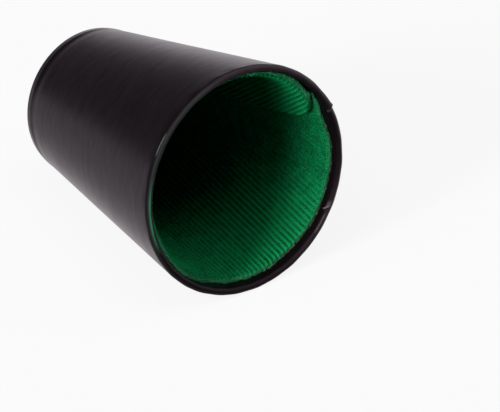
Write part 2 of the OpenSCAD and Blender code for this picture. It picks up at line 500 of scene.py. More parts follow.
def grey_board():
    """Plain grey-brown board, with the specks of pulp."""
    material, tree, board = new_material("grey_board")
    place = tree.nodes.new("ShaderNodeTexCoord").outputs["Object"]
    pulp = place_group(tree, UNEVEN, Flat=place, Slow=300.0, Fine=3000.0, Stretch=1.0)
    tree.links.new(blend(tree, pulp["Fine"], BOARD_DARK, BOARD_LIGHT), board.inputs["Base Color"])
    set_up(board, Roughness=0.9)
    return material


# Leather

# How finely the wall leather is divided: round the cup, up the wall, round the base's corner, over the rim
COLUMNS = 288
WALL_ROWS = 34
FOLD_STEPS = 8
CROWN_STEPS = 30
# Closer rows from the base up, over the ridge of the base board: how many, and their height
RIDGE_ROWS = 14
RIDGE_ROW = 0.6 * MM
# Rows below the rim on the inside, in mm, down to the turned-in edge
INSIDE_DROPS = (0.5, 1, 1.5, 2, 2.6, 3.4, 5, 7.5, TURN_IN / MM)
# The leather is pulled tight over the corner of the base
CORNER_R = 1.2 * MM
# Turn between the two columns of a steep edge
EDGE_W = 0.12 * MM / (RIM_D / 2)

# The lap beside its cut edge: the length of its steep part, how far its corner curls up on the rim,
# and the lengths of the curl and of the pressed line before it
LAP_STEEP = 1.6 * MM
LAP_CURL = 0.2 * MM
CURL_LEN = 0.9 * MM
PRESSED_LEN = 0.7 * MM

# The pleat in the turned-in leather: it slants across the rim, and is at its place at its middle
PLEAT_AT = math.radians(58)
PLEAT_MIDDLE = 1.9
PLEAT_H = 0.5 * MM
PLEAT_W = 5 * MM
PLEAT_END = 40 * MM
PLEAT_SLANT = math.radians(2)
# How far to each side of the pleat the leather is drawn along with it
PLEAT_DRAW = math.radians(9)
# Columns at the pleat, counted from its edge, and how far each is shifted from it, in edge widths
PLEAT_COLUMNS = ((-2, -3.5), (-1, -1), (0, 0), (1, 2.5))

# Where each crease starts and ends round the cup, where over the rim it lies, and its height
CREASES = (
    (math.radians(42), math.radians(54.5), 2.2, 0.13 * MM),
    (math.radians(227), math.radians(239), 0.5, 0.09 * MM),
)

# Height of the small waves of the rim and of the wall
RIM_WAVE = 0.03 * MM
WALL_WAVE = 0.05 * MM
# The ring over the edge of the base board and the hollow above it: place up the wall, width and height
BOARD_RING = (3.6 * MM, 0.8 * MM, 0.12 * MM)
BOARD_HOLLOW = (6.0 * MM, 1.6 * MM, -0.08 * MM)

# Length of the rim's round, on the flat leather
RIM_ROUND = 4 * MM

# Columns at the pleat with a painted highlight, drawn as pale scuffed leather: which, from and to where over
# the rim, and how much
PLEAT_HIGHLIGHT = ((-1, 1.5, 3.4, 1.0), (0, 1.5, 3.4, 1.0), (1, 1.8, 2.8, 0.5))
# The same for the cut edge of the lap
LAP_HIGHLIGHT = (0.2, 2.9, 0.45)
CREASE_HIGHLIGHT = 0.7

# Stretches of the rim, in degrees round the cup: start, end, and the lengths of their soft ends. The first
# has a painted grey reflection with a green tint of fluff and a duller gloss, the second the painted lit
# green of the lining's fuzz, the third a brighter gloss
PAINTED_GREY_ROUND = (190, 296, 15, 18)
LIT_FUZZ_ROUND = (248, 292, 15, 14)
GLOSSY_ROUND = (75, 195, 15, 15)
# The same over the rim
PAINTED_GREY_OVER = (0.7, 2.0, 0.25, 0.6)
GLOSSY_OVER = (-0.5, 1.0, 0.3, 0.35)


def wall_cover_section():
    """The leather's outer face: from under the base, up the wall, over the rim and down inside."""
    points = [(BASE_D / 2 - TURN_UNDER, MARGIN_Z), (BASE_D / 2 - TURN_UNDER / 2, MARGIN_Z)]
    corner = (wall_r(MARGIN_Z + CORNER_R, CORNER_R), MARGIN_Z + CORNER_R)
    points += arc(corner, CORNER_R, -math.pi / 2, -SLOPE, FOLD_STEPS)
    foot = corner[1] - CORNER_R * SIN
    ridge_rows = [foot + RIDGE_ROW * k for k in range(1, RIDGE_ROWS + 1)]
    start = ridge_rows[-1]
    long_rows = [start + (CROWN_Z - start) * k / WALL_ROWS for k in range(1, WALL_ROWS)]
    points += [wall_pt(z, 0) for z in ridge_rows + long_rows]
    points += arc(CROWN_C, CROWN_R, -SLOPE, math.pi - SLOPE, CROWN_STEPS)
    points += [wall_pt(CROWN_Z - drop * MM, SHELL_T) for drop in INSIDE_DROPS]
    return points


def leather_places(points):
    """Where each point of the wall cover lies, round the cup from the lap's cut edge and in the section.

    The columns at the cut edge and at the pleat are brought close together, so that both stand steep.
    """
    at = SimpleNamespace()
    plain = np.mod(np.arctan2(points[:, 1], points[:, 0]) + TURN, TURN)
    column = np.rint(plain * COLUMNS / TURN).astype(int) % COLUMNS
    at.before_lap = column == COLUMNS - 1
    at.angle = np.where(at.before_lap, TURN - EDGE_W, column * TURN / COLUMNS)
    pleat_angle = (PLEAT_AT - LAP_AT) % TURN
    at.from_pleat = column - int(pleat_angle * COLUMNS / TURN) - 1
    for step, shift in PLEAT_COLUMNS:
        at.angle = np.where(at.from_pleat == step, pleat_angle + shift * EDGE_W, at.angle)
    at.psi = np.mod(at.angle + LAP_AT, TURN)
    at.radius = np.hypot(points[:, 0], points[:, 1])
    at.height = points[:, 2]
    at.depth = (BASE_D / 2 + at.height * TAN - at.radius) * COS
    at.up = at.height - at.depth * SIN
    at.over = np.arctan2(at.height - CROWN_C[1], at.radius - CROWN_C[0])
    at.on_crown = at.up > CROWN_Z - 0.01 * MM
    at.inner = (at.depth > CROWN_R) & ~at.on_crown
    at.below = at.inner * (CROWN_Z - at.up)
    return at


def lap_height(at):
    """The lap, pared away from its cut edge. Its corner curls up, and the leather beside it is pressed in."""
    past = at.angle * RIM_D / 2
    before = (TURN - at.angle) * RIM_D / 2
    lap = 0.4 * np.clip(1 - past / LAP_W, 0, 1) + 0.6 * np.exp(-past / LAP_STEEP)
    fade = ease((at.up - 0.5 * MM) / (3 * MM)) * ease(1 - at.below / (2.5 * MM))
    curl = np.exp(-past / CURL_LEN) - 0.6 * np.exp(-before / PRESSED_LEN)
    return LAP_STEP * lap * fade + LAP_CURL * curl * at.on_crown


def pleat_height(at):
    """The pleat rises on the inner half of the rim and runs out inside."""
    past = np.mod(at.psi - PLEAT_AT, TURN) * RIM_D / 2
    fade = ease((at.over - 1.0) / 0.7) * at.on_crown + at.inner * ease(1 - at.below / (4 * MM))
    return PLEAT_H * np.exp(-past / PLEAT_W) * (past < PLEAT_END) * fade


def crease_shapes(at, width):
    """Each crease's height, and its shape from 0 to 1, where the leather was worked round the rim."""
    for start, end, place, height in CREASES:
        yield height, band(at.psi, start, end, 0.03, 0.03) * bump_at(at.over, place, width) * at.on_crown


def unevenness(at):
    """Small waves of the rim and of the wall, and the ring where the leather lies over the base board."""
    rim = (np.sin(31 * at.psi + 2 * at.over) + np.sin(19 * at.psi - at.over + 1)) * at.on_crown
    ring = sum(height * bump_at(at.up, place, width) for place, width, height in (BOARD_RING, BOARD_HOLLOW))
    wall = 0.5 * np.sin(3 * at.psi + 0.4 + at.up / (17 * MM)) + 0.3 * np.sin(8 * at.psi - at.up / (9 * MM))
    outer = (at.depth < CROWN_R) * band(at.up, 4 * MM, CROWN_Z, 10 * MM, 4 * MM)
    return RIM_WAVE * rim + ring + WALL_WAVE * wall * outer


def write_leather_masks(piece, at):
    """Where a highlight is painted on the leather as pale scuffs, where it is dull, and where a grey
    reflection tinted by fluff and the lining's lit green fuzz are painted on the rim.
    """
    # painted highlight on the lap's cut edge, the pleat and the creases, drawn as pale scuffs
    start, end, share = LAP_HIGHLIGHT
    painted_highlight = share * at.before_lap * band(at.over, start, end, 0.4, 0.4) * at.on_crown
    for step, start, end, share in PLEAT_HIGHLIGHT:
        painted_highlight += share * (at.from_pleat == step) * band(at.over, start, end, 0.3, 0.3) * at.on_crown
    for _, shape in crease_shapes(at, 0.1):
        painted_highlight += CREASE_HIGHLIGHT * shape
    write_mask(piece, "painted_highlight", np.minimum(painted_highlight, 1))
    degrees = np.degrees(at.psi)
    painted_grey_stretch = band(degrees, *PAINTED_GREY_ROUND)
    turned_in = ease((at.over - 1.1) / 0.5) * (1 - 0.85 * bump_at(degrees, 50, 25))
    glossy = band(degrees, *GLOSSY_ROUND) * band(at.over, *GLOSSY_OVER)
    dull = np.maximum(turned_in, 0.6 * painted_grey_stretch * ease((at.over + 0.8) / 0.3)) - 0.7 * glossy
    write_mask(piece, "dull", dull * at.on_crown + at.inner)
    # a painted grey reflection on the inner rim, tinted green by fluff
    write_mask(piece, "painted_reflection_lint", 0.8 * painted_grey_stretch * band(at.over, *PAINTED_GREY_OVER) * at.on_crown)
    # the lining's green fuzz on the rim, painted bright as if lit
    green = band(degrees, *LIT_FUZZ_ROUND) * bump_at(at.over, 1.45, 0.22)
    write_mask(piece, "lit_green_fuzz", 0.85 * green * at.on_crown)


def wall_cover():
    """The wall's leather: lapped, turned over the rim with a pleat, and turned under the base."""
    piece = lathe("leather_wall_cover", wall_cover_section(), COLUMNS)
    normals = normals_of(piece)
    at = leather_places(points_of(piece))
    raised = lap_height(at) + pleat_height(at) + unevenness(at)
    for height, shape in crease_shapes(at, 0.12):
        raised += height * shape

    slant = PLEAT_SLANT * (PLEAT_MIDDLE - np.where(at.inner, math.pi, at.over)) * (at.on_crown | at.inner)
    angle = at.angle + slant * bump_at(at.psi, PLEAT_AT, PLEAT_DRAW)
    out = np.column_stack([np.cos(angle), np.sin(angle)])
    plain = np.column_stack([out * at.radius[:, None], at.height])
    side = np.hypot(normals[:, 0], normals[:, 1]) * np.sign((normals[:, :2] * plain[:, :2]).sum(1))
    away = np.column_stack([out * side[:, None], normals[:, 2]])
    put_points(piece, plain + away * raised[:, None])

    over_rim = CROWN_Z + CROWN_R * (at.over + SLOPE)
    along = np.where(at.on_crown, over_rim, np.where(at.inner, CROWN_Z + RIM_ROUND + at.below, at.up))
    write_uv(piece, "leather", angle * RIM_D / 2, along, full=TURN * RIM_D / 2)
    write_leather_masks(piece, at)
    thicken(piece, LEATHER_T)
    turn_round(piece, LAP_AT)
    lay_down(piece)
    press_flat(piece)
    return dress(piece, LEATHER, 38)


# Rings of the base leather, from its edge inwards, so that it can sag
BASE_RINGS = (1 * MM, 2 * MM, 3 * MM, 4 * MM, 4 * MM, 4 * MM)
BASE_SAG = 0.12 * MM
BASE_WAVE = 0.03 * MM


def base_cover():
    """The leather disc under the base, with the edge that was cut."""
    bpy.ops.object.select_all(action="DESELECT")
    bpy.ops.mesh.primitive_cylinder_add(
        vertices=192, radius=FOLD_C[0], depth=LEATHER_T, location=(0, 0, LEATHER_T / 2), end_fill_type="NGON"
    )
    piece = bpy.context.object
    piece.name = "leather_base_cover"
    bpy.ops.object.transform_apply(location=True, rotation=True, scale=True)
    edit_all()
    bpy.ops.mesh.bevel(offset=0.16 * MM, segments=2, affect="EDGES", clamp_overlap=True)
    bpy.ops.mesh.select_all(action="DESELECT")
    bpy.ops.object.mode_set(mode="OBJECT")
    for face in piece.data.polygons:
        face.select = abs(face.normal.z) > 0.99 and len(face.vertices) > 8
    bpy.ops.object.mode_set(mode="EDIT")
    for width in BASE_RINGS:
        bpy.ops.mesh.inset(thickness=width)
    bpy.ops.mesh.poke()
    bpy.ops.object.mode_set(mode="OBJECT")
    points = points_of(piece)
    share = np.hypot(points[:, 0], points[:, 1]) / FOLD_C[0]
    angle = np.arctan2(points[:, 1], points[:, 0])
    sag = BASE_SAG * ease(1 - share) + BASE_WAVE * np.sin(3 * angle + 1) * share
    sag = sag * ease((1 - share) * FOLD_C[0] / (1.5 * MM))
    points[:, 2] += np.where(points[:, 2] < LEATHER_T / 2, np.maximum(sag, 0), 0)
    put_points(piece, points)
    write_uv(piece, "leather", points[:, 0], points[:, 1])
    lay_down(piece)
    return dress(piece, LEATHER, 30)


# Lining

COLUMNS_PER_RIB = 4
RIB_STEP = RIB_PITCH / COLUMNS_PER_RIB
# Height of the ribs, with their fluff
KNIT_H = 0.58 * MM
# How far in from its cut sides the outermost columns of the cloth stand, and the length of the shortest
TRIM = 0.5 * MM
SHORTEST = 0.5 * MM
# How far in from a cut edge the cloth is rounded, and how far it frays there
EDGE_ROUND = 1.3 * MM
FRAY = 0.14 * MM
# Rows near each end of a column, where the cloth is rounded, and the steps between them
EDGE_ROWS = np.array([0, 0.06, 0.16, 0.3, 0.5, 0.75, 1.05, 1.45, 2.0]) * MM
SLEEVE_STEPS = 57
DISC_EDGE_ROWS = np.array([0, 0.4, 1]) * MM
DISC_STEPS = 30

# The seam: the turn that the flap covers, and how far the cloth under it is pressed, and how thin
FLAP_TURN = FLAP_W / (RIM_D / 2)
UNDER_TURN = math.radians(8.5)
SQUASH = 0.3 * MM
# The flap rises over the seam: from and to which turn, how high, and how far its back stays off the cloth
RISE_FROM = math.radians(-30)
RISE_TO = math.radians(6)
FLAP_LIFT = 2.0 * MM
FLAP_T = 1.7 * MM
FLAP_OVER = 0.325 * MM
# The flap's end: how much deeper it lies than the rest, and from which turn on
FLAP_SET = 3.2 * MM
SET_FROM = math.radians(-9)
# The flap's free side: its round corner at the mouth, and its slant below
FLAP_CORNER = 2 * MM
FLAP_SLANT = math.radians(7)

# Directions of the seam and of the two cut sides in the flat pattern, from its middle line
SEAM_CUT = RIB_TURN - math.pi * SIN
CUT_LO = SEAM_CUT - UNDER_TURN * SIN
CUT_HI = RIB_TURN + (math.pi + FLAP_TURN) * SIN
# Height of the sleeve's lower end
LINING_FOOT = CARD_Z + CLOTH_FACE * SIN

# Place round the cup in degrees, and how far below the top of the rim the lining ends there in mm
EDGE_DROPS = (
    (0, 3.4), (30, 3.1), (45, 3.0), (60, 2.75), (75, 2.7), (90, 2.6),
    (105, 3.6), (110.5, 3.8), (115, 2.8), (120, 2.2), (132, 1.9), (146, 0.8),
    (165, 0.4), (182, 0.6), (198, 1.6), (215, 2.2), (243, 2.1), (256, 1.7),
    (272, 1.6), (288, 1.2), (300, 1.2), (315, 1.6), (330, 3.9),
)

# Place round the cup in degrees, and how much thinner the lining is pressed at the mouth there in mm
PINCHES = ((140, 0), (160, 0.7), (180, 0.95), (250, 0.95), (275, 0.5), (290, 0))
PINCH_LEN = 4 * MM

# Place round the cup in degrees, and how strongly the ribs stand out there: flattened by wear to the right
RIB_STRENGTHS = ((0, 1), (15, 1.55), (45, 1.5), (60, 0.8), (75, 0.35), (106, 0.25), (112, 0.8), (360, 1))
# The same on the cloth that rises onto the flap, by the turn to the seam in radians, below 0 before it
FLAP_RIB_STRENGTHS = ((-0.9, 1), (-0.4, 1.5))
# Place round the cup in degrees, and how far the ribs run out there towards the mouth, from 0 to 1
RIB_RUN_OUTS = ((0, 0), (108, 0), (125, 1), (185, 1), (330, 1), (360, 0))
RUN_OUT_LEN = 3 * MM

# Stretches of the cut edge, in degrees round the cup: start, end, and the lengths of their soft ends. The cut
# edge is painted paler as light on the first and darker as shade on the second, and its backing shows most on
# the third
PAINTED_LIGHT_CUT = (245, 325, 20, 15)
SHADED_CUT = (0, 112, 15, 8)
BARE_BACKING = (5, 112, 15, 8)
# Depth from which the ribs' light tops fade into painted shade further into the cup, and the length of the
# fade
PAINTED_SHADE_FROM = 24 * MM
PAINTED_SHADE_LEN = 24 * MM

# The fringe: how many fibres, and their shortest and longest length in mm
FIBRES = 1500
FIBRE_LENGTHS = (0.35, 0.95)


def rho_at(z):
    """Distance from the tip of the lining's cone, in its flat pattern."""
    return wall_r(z, CLOTH_FACE) / SIN


# Where the ribs are counted from, across the sleeve's flat pattern
RIBS_FROM = rho_at(CUP_LEN) * math.sin(CUT_LO) + TRIM


def z_at(rho):
    """Height of the cloth's face on the upright cup, at that distance from the tip."""
    return (rho * SIN - wall_r(0, CLOTH_FACE)) / TAN


def turn_of(x, y):
    """How far round the cup a place of the flat pattern comes, counted from the seam."""
    return (np.arctan2(x, y) - SEAM_CUT) / SIN


def degrees_round(turn):
    """Place round the cup in degrees, for a turn counted from the seam."""
    return np.degrees(np.mod(SEAM_AT - turn, TURN))


def read_off(table, value, period=None):
    """Reads the second column of a table at a value of the first, straight from row to row."""
    places, amounts = np.array(table).T
    return np.interp(value, places, amounts, period=period)


def edge_drop(turn):
    """How far below the top of the rim the lining ends. The flap ends deeper, with a round free corner."""
    drop = read_off(EDGE_DROPS, degrees_round(turn), period=360) * MM
    drop = drop + 0.12 * MM * np.sin(turn * 9) + 0.08 * MM * np.sin(turn * 23 + 1)
    past = turn - TURN - SET_FROM
    set_back = FLAP_SET * np.clip(past / (FLAP_TURN - SET_FROM), 0, 1) ** 1.2
    from_corner = np.clip((TURN + FLAP_TURN - turn) * RIM_D / 2, 0, FLAP_CORNER)
    corner = FLAP_CORNER - np.sqrt(FLAP_CORNER**2 - (FLAP_CORNER - from_corner) ** 2)
    return drop + set_back + np.where(turn > math.pi, corner, 0)


def pinch(turn):
    """How much thinner the lining is pressed against the wall at the mouth."""
    return read_off(PINCHES, degrees_round(turn)) * MM


def rib_strength(turn):
    """How strongly the ribs stand out: flattened by wear to the right of the mouth, sharp on the flap."""
    on_flap = read_off(FLAP_RIB_STRENGTHS, turn - TURN)
    return np.where(turn > math.pi, on_flap, read_off(RIB_STRENGTHS, degrees_round(turn)))


def rib_at_edge(turn, from_end):
    """How much of the ribs is left near the mouth: they run out before it on the left and above."""
    return 1 - read_off(RIB_RUN_OUTS, degrees_round(turn)) * (1 - ease(from_end / RUN_OUT_LEN))


def rib_height(x, first):
    """Height of the ribs across the cloth, from 0 between two ribs to 1 on top of each."""
    return 0.5 - 0.5 * np.cos(TURN * (x - first) / RIB_PITCH)


def edge_profile(from_cut):
    """How thick the cloth is near its rounded cut edges, from 0 at the edge to 1 on the flat."""
    return np.sqrt(1 - (1 - np.clip(from_cut / EDGE_ROUND, 0, 1)) ** 2)


def rows_between(start, end, edge, steps):
    """Places of the rows of each column: close together near both ends, where the cloth is rounded."""
    scale = np.minimum(1, (end - start) / (3 * edge[-1]))[:, None]
    low = start[:, None] + edge * scale
    high = end[:, None] - edge[::-1] * scale
    share = np.linspace(0, 1, steps + 1)[1:-1]
    body = low[:, -1:] + (high[:, :1] - low[:, -1:]) * share
    return np.hstack([low, body, high])


def ribbed_cloth(name, x, rows):
    """A flat grid with columns of points along and between the ribs, two faces thick.

    Returns the piece with, for each point, its place x and y in the flat cloth,
    and whether it is on the ribbed face.
    """
    bpy.ops.object.select_all(action="DESELECT")
    bpy.ops.mesh.primitive_grid_add(x_subdivisions=len(x) - 1, y_subdivisions=rows.shape[1] - 1, size=2)
    piece = bpy.context.object
    piece.name = name
    thicken(piece, MM)
    points = points_of(piece)
    i = np.rint((points[:, 0] + 1) / 2 * (len(x) - 1)).astype(int)
    k = np.rint((points[:, 1] + 1) / 2 * (rows.shape[1] - 1)).astype(int)
    return piece, x[i], rows[i, k], points[:, 2] > -MM / 2


def on_cone(x, y, lift):
    """From the flat pattern to the upright cup, lifted off the cloth's face towards the axis."""
    rho = np.hypot(x, y)
    psi = SEAM_AT - turn_of(x, y)
    radius = rho * SIN - lift * COS
    return np.column_stack([radius * np.cos(psi), radius * np.sin(psi), z_at(rho) + lift * SIN])


def sleeve_lifts(x, y):
    """Lift of the cloth's back and of the foot of its ribs, and how high the ribs stand there.

    Before the seam the cloth is pressed thin under the flap, which rises over it.
    """
    turn = turn_of(x, y)
    pared = LEATHER_T * ease((z_at(np.hypot(x, y)) - TURNED_Z) / PARE_LEN)
    back = CLOTH_FACE - BOARD_IN - GLUE_T - pared
    flap = turn > math.pi
    before = turn - np.where(flap, TURN, 0)
    pressed = SQUASH * (ease((FLAP_TURN * 1.7 - before) / (FLAP_TURN * 0.7)) + ease(-before / UNDER_TURN))
    rise = ease((before - RISE_FROM) / (RISE_TO - RISE_FROM))
    over = ease((before + UNDER_TURN * 1.2) / (UNDER_TURN * 0.2))
    top = np.where(flap, FLAP_LIFT * rise, -pressed)
    off_wall = (back + FLAP_OVER - pressed) * over
    flap_back = np.maximum(off_wall - back, top - FLAP_T * rise - back * (1 - rise))
    return np.where(flap, flap_back, -back), top, np.where(flap, 1, 1 - 0.5 * pressed / SQUASH)


def sleeve_end(x):
    """Where the cloth ends at the mouth, for each x across the ribs."""
    end = np.sqrt(rho_at(CUP_LEN) ** 2 - x**2)
    for _ in range(4):
        end = np.sqrt(rho_at(CUP_LEN - edge_drop(turn_of(x, end))) ** 2 - x**2)
    return end


def flap_side(rho):
    """Direction of the flap's free side in the flat pattern: it slants away from the seam below the mouth."""
    below = rho_at(CUP_LEN) - rho
    return CUT_HI + FLAP_SLANT * (1 - np.exp(-np.maximum(below - FLAP_SET, 0) / (11 * MM))) * SIN


def sleeve_grid():
    """The columns across the ribs, and the rows of each from its lower end up to the mouth."""
    rho_foot = rho_at(LINING_FOOT)
    along_side = np.linspace(rho_foot, rho_at(CUP_LEN), 120)
    side_x = along_side * np.sin(flap_side(along_side))
    side_y = along_side * np.cos(flap_side(along_side))
    x = np.arange(RIBS_FROM, side_x.max() - TRIM, RIB_STEP)
    side = np.where(x < 0, x / math.tan(CUT_LO), np.interp(x, side_x, side_y))
    # columns that would be too short are left out
    long_enough = sleeve_end(x) > side + SHORTEST
    x, side = x[long_enough], side[long_enough]
    on_foot = (x > rho_foot * math.sin(CUT_LO)) & (x < side_x[0])
    start = np.where(on_foot, np.sqrt(np.maximum(rho_foot**2 - x**2, 0)), side)
    return x, rows_between(start, sleeve_end(x), EDGE_ROWS, SLEEVE_STEPS)


def write_sleeve_masks(piece, rib, front, turn, from_end, from_cut):
    """Where the ribs are light, with painted shade between them and further into the cup, where the cloth is
    cut, with painted light and shade along it, and where its backing shows.
    """
    # painted shade: the ribs' light tops fade further into the cup
    depth_shade = ease((from_end - PAINTED_SHADE_FROM) / PAINTED_SHADE_LEN)
    write_mask(piece, "rib_top_and_valley_shade", rib**2 * front * (1 - 0.55 * depth_shade))
    psi = degrees_round(turn)
    # the cut edge is painted paler as light on the left of the mouth, and darker as shade on the right
    tone = 0.55 + 0.45 * band(psi, *PAINTED_LIGHT_CUT) - 0.35 * band(psi, *SHADED_CUT)
    lip = (1 - ease(from_cut / (0.8 * MM))) * tone
    write_mask(piece, "cut_edge_and_light", np.where(front, lip, 0.6))
    bare = 0.25 + 0.75 * band(psi, *BARE_BACKING)
    write_mask(piece, "backing", (from_end < 0.03 * MM) * (turn < math.pi) * bare)


def wall_lining():
    """The sleeve: its ribs run straight in the flat cloth, so they fan out on the cone."""
    piece, x, y, front = ribbed_cloth("cloth_wall_lining", *sleeve_grid())

    rng = np.random.default_rng(7)
    from_end = np.maximum(sleeve_end(x) - y, 0)
    rho = np.hypot(x, y)
    cut = np.where(x < 0, -CUT_LO, flap_side(rho))
    from_side = np.maximum((cut - np.abs(np.arctan2(x, y))) * rho, 0)
    from_cut = np.minimum(from_end, from_side)
    round_off = edge_profile(from_cut)
    frayed = FRAY * (rng.normal(0, 1, len(x)) + 0.3 * rib_height(x, RIBS_FROM))
    y = y + (from_end < 0.4 * MM) * frayed
    under, foot, ribs = sleeve_lifts(x, y)
    turn = turn_of(x, y)
    rib = rib_height(x, RIBS_FROM) * (0.4 + 0.6 * round_off) * ribs
    rib = rib * rib_strength(turn) * rib_at_edge(turn, from_end)
    foot = foot - pinch(turn) * (1 - ease(from_end / PINCH_LEN))
    top = under + (foot - under) * (0.2 + 0.8 * round_off) + KNIT_H * rib
    put_points(piece, on_cone(x, y, np.where(front, top, under)))
    face_outwards(piece)
    write_uv(piece, "cloth", x - RIBS_FROM, y)
    write_sleeve_masks(piece, rib, front, turn, from_end, from_cut)
    add_fringe(piece, rng)
    lay_down(piece)
    return dress(piece, CLOTH, 60)


def one_fibre():
    """A thin, bent fibre of one unit's length and a tenth of a unit's width, standing on the origin."""
    bpy.ops.object.select_all(action="DESELECT")
    bpy.ops.mesh.primitive_cone_add(vertices=3, radius1=0.05, radius2=0, depth=1, location=(0, 0, 0.5))
    fibre = bpy.context.object
    bpy.ops.object.transform_apply(location=True, rotation=True, scale=True)
    edit_all()
    bpy.ops.mesh.subdivide(number_cuts=1)
    bpy.ops.object.mode_set(mode="OBJECT")
    bend = points_of(fibre)
    bend[:, 0] += 0.25 * bend[:, 2] ** 2
    put_points(fibre, bend)
    count = len(bend)
    write_uv(fibre, "cloth", np.zeros(count), bend[:, 2] * MM)
    write_mask(fibre, "rib_top_and_valley_shade", np.full(count, 0.7))
    write_mask(fibre, "cut_edge_and_light", np.full(count, 0.75))
    write_mask(fibre, "backing", np.zeros(count))
    return fibre


def add_fringe(piece, rng):
    """Short loose fibres along the cut edge at the mouth, where the knit frays."""
    fibre = one_fibre()
    rho_rim = rho_at(CUP_LEN)
    x = rng.uniform(rho_rim * math.sin(CUT_LO) + 2 * MM, rho_rim * math.sin(CUT_HI) - 2 * MM, FIBRES)
    back = rng.uniform(0, 1.0, FIBRES) * EDGE_ROUND
    y = sleeve_end(x) - back
    pinched = pinch(turn_of(x, y))
    under, foot, _ = sleeve_lifts(x, y)
    lift = under + (foot - pinched - under) * (0.2 + 0.8 * edge_profile(back)) + KNIT_H * 0.3
    root = on_cone(x, y, lift)
    ahead = on_cone(x, y + MM, lift) - root
    inward = on_cone(x, y, lift + MM) - root
    aside = on_cone(x + MM, y, lift) - root
    # they spread all ways, and lie out over the rim where the lining is pressed thin
    spread = rng.normal(0, 1, (FIBRES, 2)) * 0.7
    out = (pinched / MM)[:, None]
    forward = (0.5 + 0.5 * back / EDGE_ROUND)[:, None]
    way = ahead * forward + inward * (0.6 * spread[:, :1] - out) + aside * spread[:, 1:]
    length = rng.uniform(*FIBRE_LENGTHS, FIBRES) * (1 + 0.8 * out[:, 0]) * MM
    fibres = []
    for k in range(FIBRES):
        one = bpy.data.objects.new("fibre", fibre.data.copy())
        bpy.context.scene.collection.objects.link(one)
        turned_way = Vector(way[k]).to_track_quat("Z", "Y").to_matrix().to_4x4()
        size = Matrix.Diagonal((MM, MM, length[k], 1))
        one.data.transform(Matrix.Translation(root[k]) @ turned_way @ size)
        fibres.append(one)
    bpy.data.objects.remove(fibre)
    select_only(piece)
    for one in fibres:
        one.select_set(True)
    bpy.ops.object.join()


DISC_R = wall_r(BASE_CLOTH_Z, CLOTH_FACE + KNIT_H) - DISC_GAP


def base_lining():
    """The disc of the same cloth at the bottom."""
    first = -DISC_R + TRIM
    x = np.arange(first, DISC_R - TRIM, RIB_STEP)
    end = np.sqrt(DISC_R**2 - x**2)
    rows = rows_between(-end, end, DISC_EDGE_ROWS, DISC_STEPS)
    piece, x, y, front = ribbed_cloth("cloth_base_lining", x, rows)
    rib = rib_height(x, first)
    z = BASE_CLOTH_Z + np.where(front, CLOTH_T + KNIT_H * rib, 0)
    put_points(piece, np.column_stack([x, y, z]))
    face_outwards(piece)
    write_uv(piece, "cloth", x - first, y)
    # light rib tops, with painted shade between the ribs
    write_mask(piece, "rib_top_and_valley_shade", rib * front)
    write_mask(piece, "cut_edge_and_light", ~front * 1.0)
    write_mask(piece, "backing", np.zeros(len(x)))
    lay_down(piece)
    return dress(piece, CLOTH, 60)


# Stage


def direction(azimuth, elevation):
    """Unit vector that way, in degrees: azimuth 0 is the front, 90 the right."""
    a, e = math.radians(azimuth), math.radians(elevation)
    return Vector((math.sin(a) * math.cos(e), -math.cos(a) * math.cos(e), math.sin(e)))


# The photograph's view: the camera's place, the azimuth and elevation that it looks from, its roll and lens
EYE_AT = (756.70 * MM, -527.05 * MM, 594.98 * MM)
VIEW_FROM = (53.44, 32.56)
VIEW_ROLL = 0.51
SENSOR_WIDTH = 36
LENS = 235.79


def camera():
    """Looks at the mouth from the photograph's side and height."""
    back = direction(*VIEW_FROM)
    roll = Quaternion((0, 0, 1), math.radians(VIEW_ROLL))
    data = bpy.data.cameras.new("camera")
    data.sensor_width = SENSOR_WIDTH
    data.lens = LENS
    data.clip_start = 0.05
    data.clip_end = 100
    eye = bpy.data.objects.new("camera", data)
    bpy.context.scene.collection.objects.link(eye)
    eye.location = EYE_AT
    eye.rotation_mode = "QUATERNION"
    eye.rotation_quaternion = (-back).to_track_quat("-Z", "Y") @ roll
    bpy.context.scene.camera = eye


# Name, azimuth and elevation in degrees, strength, spread in degrees, and whether the gloss shows it
LAMPS = (
    ("side_lamp", 6, 20, 2.05, 20, False),
    ("low_lamp", 9, 8, 1.22, 24, False),
    ("front_lamp", 0, 50, 0.5, 40, False),
    ("gleam_lamp", 36, 42, 0.06, 14, True),
    ("top_lamp", 60, 75, 0.45, 40, False),
    ("right_lamp", 140, 60, 0.45, 40, False),
)


def lamp(name, azimuth, elevation, strength, spread, mirrored):
    """A wide, far lamp, so that its light is soft and even. Not each of them shows in the leather's gloss."""
    data = bpy.data.lights.new(name, "SUN")
    data.energy = strength
    data.angle = math.radians(spread)
    light = bpy.data.objects.new(name, data)
    bpy.context.scene.collection.objects.link(light)
    towards = direction(azimuth, elevation)
    light.rotation_mode = "QUATERNION"
    light.rotation_quaternion = (-towards).to_track_quat("-Z", "Y")
    light.location = towards
    light.visible_glossy = mirrored


# Azimuth and elevation in degrees of what shows in the leather's gloss
BEHIND = (235, -25)
TO_THE_RIGHT = (150, -10)
DARK_CORNER = (270, 16)
WINDOW = (125, 32)
# How bright the floor is where it is neither behind the cup nor to the right
FLOOR_GREY = 0.47


